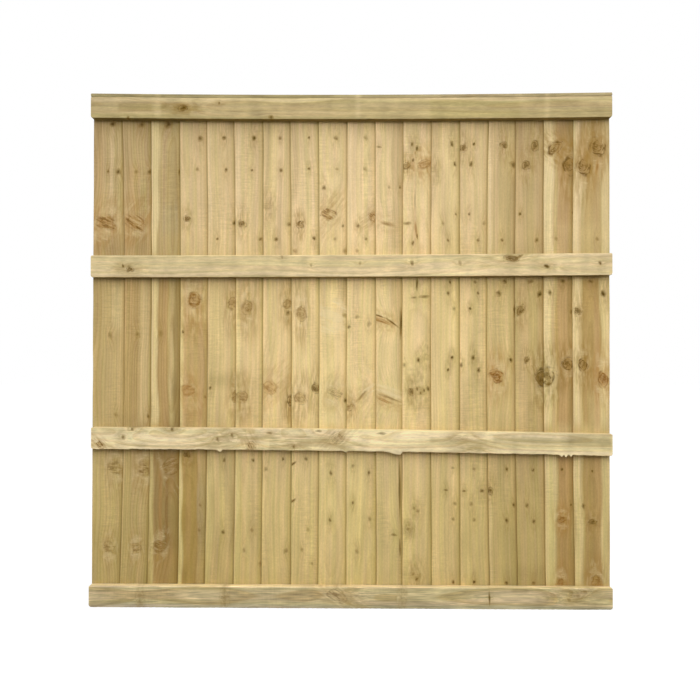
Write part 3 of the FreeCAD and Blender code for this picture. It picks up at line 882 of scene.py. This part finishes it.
# A board is its tapered section carried up its length; it leans back, and its edges wander by under a mm
def buildBoard(number, look, nextLook, lean, boards):
    seed = 700 + 11 * number
    width, cover, wavy = boards["width"], boards["cover"], boards["edgeWander"]
    columns = plankColumns(width, boards["ease"], boards["columns"])
    fall = cornerFall(columns, width, boards["ease"])
    stations = np.linspace(0, 1, boards["stations"])
    across, depth, along = plankGrid(columns, fall, boardThickness(boards, columns) - fall, stations)
    railSide = depth < boards["thin"] / 2
    edge = boards["firstEdge"] + cover * (number - 1)
    foot = boards["unevenFoot"] * abs(wander(seed, np.array(number), np.array(0.0), 3.0, 1.0))
    head = boards["top"] - topSag(edge + across * math.cos(lean)) - boards["headGap"]
    z = foot + along * (head - foot)
    share = across / width
    across = across + wavy * (1 - share) * wander(seed + 1, z, z, 0.35, 0.9)
    across = across + wavy * share * wander(seed + 2, z, z, 0.35, 0.9)
    sway = boardSway(look, z, boards)
    joint = cover + boardSway(nextLook, z, boards) - sway if nextLook else 2 * width
    lap = np.where(railSide, across - joint, across - (width - cover))
    if nextLook is None:
        sway = sway + (boards["lastEdge"] - sway) * rise(share, 0.6, 0.8)
    x = edge + sway + across * math.cos(lean) - depth * math.sin(lean)
    x = np.clip(x, -boards["reach"], boards["reach"])
    y = boards["plane"] + across * math.sin(lean) + depth * math.cos(lean)
    flat = flatPoints(x, y, z)
    base = blend(timberTones["straw"], timberTones["olive"], look["age"])
    tint = tintPlank(flat, base, look["bands"], boards["readDepth"], boards["bandSoft"], seed)
    edgeGain = 1 + boards["edgePale"] * (1 - rise(across.ravel(), boards["edgeWidth"], boards["edgeWidth"]))
    # Painted light and shade up the panel over the board's tint
    tint = tint * edgeGain[:, None] * paintedLightByHeight(flat[:, 2], paintedLightSpread)
    knots = gatherKnots(look["knots"], boards["readDepth"])
    node = "feather_board_%02d" % number
    board = makePlank(node, (across, depth, z), flat, tint, look, knots, True, boardTimber)
    addAttribute(board.data, "lap", "FLOAT", "POINT", "value", lap)
    distances = np.where(railSide[..., None], railDistances(x, z, railStock), farAway)
    addAttribute(board.data, "rails", "FLOAT_VECTOR", "POINT", "vector", distances)


# Rails: sizes that all share, in metres; zones as limit and softness, shares of height and thickness; the
# width and gain of the painted light on a top face; the painted shade of an underside on its red, green
# and blue
railStock = {
    "height": 0.075, "near": -0.030, "far": 0.008, "face": -0.0299, "halfLength": 0.915, "ease": 0.0018,
    "columns": 20, "stations": 520, "tips": (0.0, 0.0006, 0.002, 0.004, 0.007, 0.011), "tipReach": 0.016,
    "endFall": 0.003, "faceWander": 0.0005, "raggedMost": 0.006, "splinterRoot": 0.006, "splinterRow": 450,
    "lowZone": (0.12, 0.2), "nearZone": (0.4, 0.5), "topLightEdge": 0.0022, "topLightGain": 1.1,
    "bandSoft": (0.016, 0.008), "underShade": (0.50, 0.45, 0.29),
}


# Pale marks where straps lay round the top rail and the cap, between two pixel heights
def strapMarks(top, bottom):
    straps = ((155.5, 160.5), (355.5, 360.5), (545, 549.5))
    return [("cream", 0.3, left, right, top, bottom) for left, right in straps]


# Each rail, in mm: underside height at its left and right ends and how far its middle bows up; the rounding
# of its lower end corners; how ragged its lower edge is; what is shaved off its underside and its left end;
# splinters by pixel, hang and reach to both sides; tone and its amount of another; how far lower, in m, the
# drips and painted shade below it start, and how much painted light from above its top face takes; the rest
# as for boards
railLooks = {
    "top_rail": {
        "timber": railTimber, "ends": (1719, 1719), "bow": 0, "sags": True, "round": 6, "torn": 0.4,
        "shave": 0.8, "short": 0, "dripShadeOffset": 0.0, "lines": 1.0, "paintedTopLight": 0.0, "tone": ("grey", "olive", 0.35),
        "pith": (48, 20, 0.012), "splinters": [],
        "bands": [("cream", 0.5, 90, 612, 97, 100.5), ("stain", 0.45, 118, 152, 103.5, 112),
                  ("stain", 0.35, 161, 190, 102.5, 113), ("moss", 0.3, 430, 520, 100, 118),
                  *strapMarks(90, 118)],
        "knots": {"bead": [(182.5, 108, 5.2, 0.72)], "pin": [(219, 103)],
                  "deep": [(183.5, 107.7, 2.9, 0.9)], "notch": [(128, 117.5), (271, 117.5)]},
    },
    "upper_mid_rail": {
        "timber": railTimber, "ends": (1159, 1168), "bow": -2, "sags": False, "round": 7, "torn": 0.5,
        "shave": -2, "short": 2, "dripShadeOffset": 0.0, "lines": 0.8, "paintedTopLight": 0.5, "tone": ("cream", "olive", 0.12),
        "pith": (30, -14, 0.014), "splinters": [],
        "bands": [("cream", 0.7, 90, 612, 271.5, 276)],
        "knots": {"deep": [(546.5, 266.2, 2.9, 0.9)], "pin": [(123, 266), (412, 263, 2), (600, 263, 2)],
                  "faint": [(311, 265), (360, 263), (460, 263), (282, 257)],
                  "bead": [(130, 269, 4.4, 0.75), (511.5, 258.2, 8.0, 0.58, 8)],
                  "dash": [(520, 256.2, 4, 0.4, 35)]},
    },
    "lower_mid_rail": {
        "timber": railTimber, "ends": (555, 536), "bow": 5, "sags": False, "round": 6, "torn": 1.5,
        "shave": -2, "short": 6, "dripShadeOffset": 0.02, "lines": 1.5, "paintedTopLight": 0.7, "tone": ("bone", "cream", 0.0),
        "pith": (55, -20, -0.012),
        "splinters": [(219, 8, 11, 5), (345, 6, 6, 5), (400, 10, 38, 4), (562, 7, 6, 3), (566, 9, 4, 4),
                      (571, 7, 4, 4)],
        "bands": [("olive", 0.3, 90, 612, 443, 449), ("stain", 0.34, 430, 612, 438, 444.5),
                  ("stain", 0.3, 568, 612, 434, 446), ("olive", 0.15, 420, 612, 430, 456)],
        "knots": {"pin": [(132, 429), (172, 429), (123, 437), (217.5, 439), (232, 435), (294, 447)],
                  "dash": [(270, 433), (381, 433.5, 6, 0.3), (319, 431, 4)],
                  "torn": [(251, 446, 5, 1.0, -60), (100, 445, 5, 0.8, -40)],
                  "swirl": [(337, 438, 8, 0.8, 40)],
                  "smudge": [(216, 440, 7, 0.8), (231, 434, 5, 0.7), (291, 446, 6), (260, 437, 9, 0.35),
                             (131, 429, 5, 0.5), (171, 429, 4, 0.5), (320, 440, 12, 0.25), (465, 438, 4),
                             (478, 448, 4)]},
    },
    "bottom_rail": {
        "timber": weatheredTimber, "ends": (0, 0), "bow": 0, "sags": False, "round": 8, "torn": 0.8,
        "shave": 0, "short": 0, "dripShadeOffset": 0.0, "lines": 1.5, "paintedTopLight": 1.0, "tone": ("ash", "cream", 0.45),
        "pith": (40, 60, 0.010), "splinters": [],
        "bands": [("grey", 0.4, 90, 612, 599, 612), ("stone", 0.7, 90, 612, 603.5, 612),
                  ("stain", 0.3, 512, 528, 586, 594)],
        "knots": {"faint": [(569, 600), (585, 592), (578, 596)], "crack": [(489.5, 598, 1.2, 7)],
                  "smudge": [(225, 597, 1.2, 8), (140, 600, 1.2, 7), (402, 598, 1.3, 7),
                             (577, 596, 8, 0.8)], "swirl": [(338, 596, 9, 0.7, -30)]},
    },
}


# The straight line of a rail's underside between its two ends
def railLine(look, x, stock):
    slope = (x + stock["halfLength"]) / (2 * stock["halfLength"])
    return (look["ends"][0] + (look["ends"][1] - look["ends"][0]) * slope) / 1000


# A rail's underside: that line, bowed by a parabola, hanging with the top where it does
def railUnder(look, x, stock):
    under = railLine(look, x, stock) + look["bow"] / 1000 * (1 - (x / stock["halfLength"]) ** 2)
    return under - topSag(x) if look["sags"] else under


# How far a point of a board lies below the next rail up, and above the next rail down
def railDistances(x, z, stock):
    below = np.full_like(z, farAway)
    above = np.full_like(z, farAway)
    for look in railLooks.values():
        under = railUnder(look, x, stock)
        # The drips and painted shade under a rail start lower by its offset
        below = np.where(z < under + stock["height"] / 2, under - z + look["dripShadeOffset"], below)
    for look in reversed(railLooks.values()):
        top = railUnder(look, x, stock) + stock["height"]
        above = np.where(z > top - stock["height"] / 2, z - top, above)
    return np.stack([below, above, np.zeros_like(z)], -1)


# Stations along a rail or the cap: even steps, with close ones at both ends that carry the rounded corners
def lengthStations(stock):
    half, tips = stock["halfLength"], np.array(stock["tips"])
    inner = np.linspace(-half + stock["tipReach"], half - stock["tipReach"], stock["stations"])
    return np.concatenate([-half + tips, inner, half - tips[::-1]])


# A rail is a rectangle with eased corners carried from end to end; its lower corners are rounded at the ends,
# its lower near edge is torn by noise, and splinters hang from it as narrow bells
def buildRail(node, look, stock):
    seed = 4000 + sum(ord(letter) for letter in node)
    tall, root = stock["height"], stock["splinterRoot"]
    columns = plankColumns(tall, stock["ease"], stock["columns"])
    fall = cornerFall(columns, tall, stock["ease"])
    thickness = stock["far"] - stock["near"]
    height, depth, x = plankGrid(columns, fall, thickness - fall, lengthStations(stock))
    fromEnd = stock["halfLength"] - np.abs(x)
    radius = look["round"] / 1000
    lift = radius - np.sqrt(radius**2 - np.clip(radius - fromEnd, 0, radius) ** 2)
    drop = np.clip(stock["endFall"] - fromEnd, 0, stock["endFall"]) * 0.8
    share = height / tall
    low = 1 - rise(share, *stock["lowZone"])
    nearSide = 1 - rise(depth / thickness, *stock["nearZone"])
    torn = look["torn"] / 1000
    ragged = torn * (0.5 + 0.5 * wander(seed, x, depth, 0.11, 0.2))
    ragged = ragged + 0.4 * torn * wander(seed + 1, x, depth, 0.024, 0.1)
    cut = look["shave"] / 1000 + lift + np.clip(ragged, 0, stock["raggedMost"]) * nearSide
    up = height + cut * low - drop * (1 - low) * share
    for pixel, hang, left, right in look["splinters"]:
        away = x - panelPoint(pixel, stock["splinterRow"], stock["near"])[0]
        bell = np.exp(-((away / np.where(away < 0, left, right) * 1000) ** 2))
        up = up - bell * rise(-height, -root, root) * nearSide * hang / 1000
    z = np.maximum(railUnder(look, x, stock) + up, 0.0)
    y = stock["near"] + depth + stock["faceWander"] * wander(seed + 3, x, height, 0.5, 0.2) * nearSide
    x = x + look["short"] / 2000 * (1 - x / stock["halfLength"])
    flat = flatPoints(x, np.maximum(y, stock["face"]), z)
    first, second, amount = look["tone"]
    base = blend(timberTones[first], timberTones[second], amount)
    tint = tintPlank(flat, base, look["bands"], stock["near"], stock["bandSoft"], seed)
    # Painted light: the top face is paler, where light from above falls on it
    topLight = look["paintedTopLight"] * rise(height.ravel(), tall - stock["topLightEdge"], 0.002)
    tint = tint + topLight[:, None] * (stock["topLightGain"] * timberTones["topLit"] - tint)
    # Painted shade on the underside
    tint = np.where((height.ravel() < 0.0001)[:, None], tint * stock["underShade"], tint)
    knots = gatherKnots(look["knots"], stock["near"])
    makePlank(node, (height, depth, x), flat, tint, look, knots, False, look["timber"])


for node, look in railLooks.items():
    buildRail(node, look, railStock)
print("rails laid:", len(railLooks))

for number, lean in enumerate(boardLeans(featherBoards, len(boardLooks)), 1):
    buildBoard(number, boardLooks[number], boardLooks.get(number + 1), lean, featherBoards)
print("boards stood:", len(boardLooks))

# The capping strip, in metres; its pith as for the boards
cappingStrip = {
    "halfLength": 0.915, "width": 0.060, "top": 1.806, "thickness": 0.012, "ease": 0.0025, "columns": 16,
    "stations": 300, "tips": (0.0, 0.0006, 0.002, 0.004), "tipReach": 0.009, "endPinch": 0.0025,
    "topGap": 0.0001, "readDepth": -0.030, "bandSoft": (0.016, 0.008), "pith": (30, 45, 0.010),
    "tone": "dull", "seed": 5100, "bands": strapMarks(85, 100), "knots": {"pin": [(140, 92), (470, 92)]},
}


# The cap is a thin eased rectangle carried along the top, hanging with the top rail
def buildCap(strip):
    columns = plankColumns(strip["width"], strip["ease"], strip["columns"])
    fall = cornerFall(columns, strip["width"], strip["ease"])
    across, depth, x = plankGrid(columns, fall, strip["thickness"] - fall, lengthStations(strip))
    fromEnd = strip["halfLength"] - np.abs(x)
    pinch = np.clip(strip["endPinch"] - fromEnd, 0, strip["endPinch"]) * 0.6
    z = strip["top"] - depth - topSag(x) + pinch * (2 * depth / strip["thickness"] - 1)
    flat = flatPoints(x, across - strip["width"] / 2, np.clip(z, 0, strip["top"] - strip["topGap"]))
    base = timberTones[strip["tone"]]
    tint = tintPlank(flat, base, strip["bands"], strip["readDepth"], strip["bandSoft"], strip["seed"])
    knots = gatherKnots(strip["knots"], strip["readDepth"])
    makePlank("capping_strip", (across, depth, x), flat, tint, strip, knots, False, railTimber)


buildCap(cappingStrip)
print("cap laid")

# Nails: sizes in metres, the points round them, and the dome's profile as shares of its radius and height;
# how far board nails stand off the lap, and the row of cap nails
nailStock = {
    "head": 0.0035, "shank": 0.0014, "dome": 0.0012, "length": 0.014, "point": 0.002, "around": 20,
    "sharpAngle": 50,
    "domeRadius": (0.0, 0.45, 0.8, 0.96, 1.0, 0.96), "domeLift": (1.0, 0.93, 0.72, 0.42, 0.15, 0.0),
    "offLap": 0.012, "capCount": 7, "capFromEnd": 0.060, "capDepth": -0.011,
}


# Galvanised steel: a clouded grey with noise in its colour and roughness
def galvanisedSteel():
    material, tree, shader = startMaterial("galvanisedNail")
    cloud = noise(Wire(tree.nodes.new("ShaderNodeTexCoord").outputs["Object"]), (900, 900, 900), 3, 0.6)
    pale, dull = withAlpha(screenColour(188, 186, 178)), withAlpha(screenColour(122, 116, 104))
    feed(shader.inputs["Base Color"], mixColour(cloud, dull, pale))
    feed(shader.inputs["Roughness"], cloud * 0.3 + 0.35)
    shader.inputs["Metallic"].default_value = 0.85
    return material


nailSteel = galvanisedSteel()


# A nail is a turned profile, a shallow dome over a short shank, repeated at each place along its outward line
def buildNails(node, places, outward, stock):
    around, shank, length = stock["around"], stock["shank"], stock["length"]
    radius = np.concatenate([np.array(stock["domeRadius"]) * stock["head"], [shank, shank, 0.0]])
    shankLift = [0.0, -length, -length - stock["point"]]
    lift = np.concatenate([np.array(stock["domeLift"]) * stock["dome"], shankLift])
    angle = np.arange(around) * 2 * np.pi / around
    side = np.cross(outward, [0.0, 1.0, 0.0] if abs(outward[0, 1]) < 0.9 else [0.0, 0.0, 1.0])
    side = side / np.linalg.norm(side, axis=1, keepdims=True)
    other = np.cross(outward, side)
    turned = (
        side[:, None, None, :] * (radius[1:-1, None] * np.cos(angle))[None, :, :, None]
        + other[:, None, None, :] * (radius[1:-1, None] * np.sin(angle))[None, :, :, None]
        + outward[:, None, None, :] * lift[1:-1][None, :, None, None]
    )
    tips = places[:, None, :] + outward[:, None, :] * lift[[0, -1]][None, :, None]
    rings = (places[:, None, None, :] + turned).reshape(len(places), -1, 3)
    points = np.concatenate([rings, tips], 1)
    levels = len(radius) - 2
    step = np.arange(around)
    after = (step + 1) % around
    level = np.arange(levels - 1)[:, None] * around
    last = (levels - 1) * around
    sides = np.stack([level + around + step, level + around + after, level + after, level + step], -1)
    crown = np.stack([step, after, np.full(around, levels * around)], -1)
    point = np.stack([last + after, last + step, np.full(around, levels * around + 1)], -1)
    shift = np.arange(len(places))[:, None, None] * points.shape[1]
    quads = (sides.reshape(-1, 4)[None] + shift).reshape(-1, 4).tolist()
    fans = (np.concatenate([crown, point])[None] + shift).reshape(-1, 3).tolist()
    mesh = bpy.data.meshes.new(node + "_steel")
    mesh.from_pydata(points.reshape(-1, 3).tolist(), [], quads + fans)
    seatPiece(mesh, node, nailSteel, stock["sharpAngle"])


# Board nails stand square to each board's front face, near its lap, at the middle of each rail
def buildBoardNails(boards, rails, stock):
    leans = np.array(boardLeans(boards, len(boardLooks)))
    lines = leans + boardTaper(boards)
    across = boards["cover"] - stock["offLap"]
    deep = boardThickness(boards, across)
    edges = boards["firstEdge"] + boards["cover"] * np.arange(len(leans))
    x = edges + across * np.cos(leans) - deep * np.sin(leans)
    y = boards["plane"] + across * np.sin(leans) + deep * np.cos(leans)
    outward = np.stack([-np.sin(lines), np.cos(lines), np.zeros_like(lines)], -1)
    for node, look in railLooks.items():
        z = railLine(look, x, rails) + rails["height"] / 2
        buildNails(node + "_nails", np.stack([x, y, z], -1), outward, stock)


# Cap nails stand upright in a row, their domes level with the cap's top
def buildCapNails(strip, stock):
    count, last = stock["capCount"], strip["halfLength"] - stock["capFromEnd"]
    x = np.linspace(-last, last, count)
    z = strip["top"] - stock["dome"] - topSag(x)
    places = np.stack([x, np.full(count, stock["capDepth"]), z], -1)
    buildNails("cap_nails", places, np.tile([0.0, 0.0, 1.0], (count, 1)), stock)


buildBoardNails(featherBoards, railStock, nailStock)
buildCapNails(cappingStrip, nailStock)
print("nails driven")

# Floor, lamps and the white surround; each lamp has its place and aim, m, its size, m, and its power, W
studio = {
    "lamps": {
        "frontLamp": ((0.6, -4.8, 2.4), (0.0, 0.0, 0.95), (3.0, 2.0), 129.0),
        "highLamp": ((0.6, -4.2, 4.2), (0.0, 0.0, 0.95), (3.0, 2.0), 54.0),
        "overheadLamp": ((0.3, -1.5, 4.4), (0.0, -0.3, 0.6), (4.0, 2.6), 44.0),
        "leftLamp": ((-6.5, -0.8, 2.4), (-0.9, 0.0, 0.95), (2.4, 2.0), 80.0),
        "rightLamp": ((6.5, -0.8, 2.4), (0.9, 0.0, 0.95), (2.4, 2.0), 80.0),
        "backLamp": ((-1.2, 4.8, 2.8), (0.0, 0.0, 0.95), (3.0, 2.0), 170.0),
    },
    "surround": 0.10, "floorHalf": 30.0, "floorTone": 0.34,
    "floorGlow": (1.6, 7.0, 0.80, 0.98),  # from and to, m, and the glow there
}


def hangLamp(name, place, aim, size, power):
    lamp = bpy.data.objects.new(name, bpy.data.lights.new(name, "AREA"))
    lamp.data.shape = "RECTANGLE"
    lamp.data.size, lamp.data.size_y = size
    lamp.data.energy = power
    lamp.location = place
    lamp.rotation_euler = (Vector(aim) - lamp.location).to_track_quat("-Z", "Y").to_euler()
    scene.collection.objects.link(lamp)


# Rays that see the surround as it is: the camera's, and those that metal or glass pass on
def seenDirectly(tree):
    path = tree.nodes.new("ShaderNodeLightPath")
    rays = [Wire(path.outputs[name]) for name in ("Is Camera Ray", "Is Glossy Ray", "Is Transmission Ray")]
    return sums("MAXIMUM", sums("MAXIMUM", rays[0], rays[1]), rays[2])


def buildSurround(settings):
    world = bpy.data.worlds.new("whiteRoom")
    world.use_nodes = True
    scene.world = world
    background = world.node_tree.nodes["Background"]
    strength = seenDirectly(world.node_tree) * (1.0 - settings["surround"]) + settings["surround"]
    feed(background.inputs["Strength"], strength)
    background.inputs["Color"].default_value = (1, 1, 1, 1)


# The floor glows by its distance from the middle, only where it is seen, so that it fades into the surround
def buildFloor(settings):
    half = settings["floorHalf"]
    mesh = bpy.data.meshes.new("paleFloor")
    corners = [(-half, -half, 0), (half, -half, 0), (half, half, 0), (-half, half, 0)]
    mesh.from_pydata(corners, [], [(0, 1, 2, 3)])
    floor = bpy.data.objects.new("paleFloor", mesh)
    scene.collection.objects.link(floor)
    material, tree, shader = startMaterial("paleFloor")
    shader.inputs["Base Color"].default_value = (settings["floorTone"],) * 3 + (1,)
    shader.inputs["Roughness"].default_value = 0.9
    shader.inputs["Specular IOR Level"].default_value = 0.0
    shader.inputs["Emission Color"].default_value = (1, 1, 1, 1)
    place = Wire(tree.nodes.new("ShaderNodeTexCoord").outputs["Object"])
    away = Wire(addNode("ShaderNodeVectorMath", (place,), operation="LENGTH").outputs["Value"])
    glow = ramp(away, *settings["floorGlow"])
    feed(shader.inputs["Emission Strength"], seenDirectly(tree) * glow)
    mesh.materials.append(material)


for name, lamp in studio["lamps"].items():
    hangLamp(name, *lamp)
buildSurround(studio)
buildFloor(studio)
print("studio set")
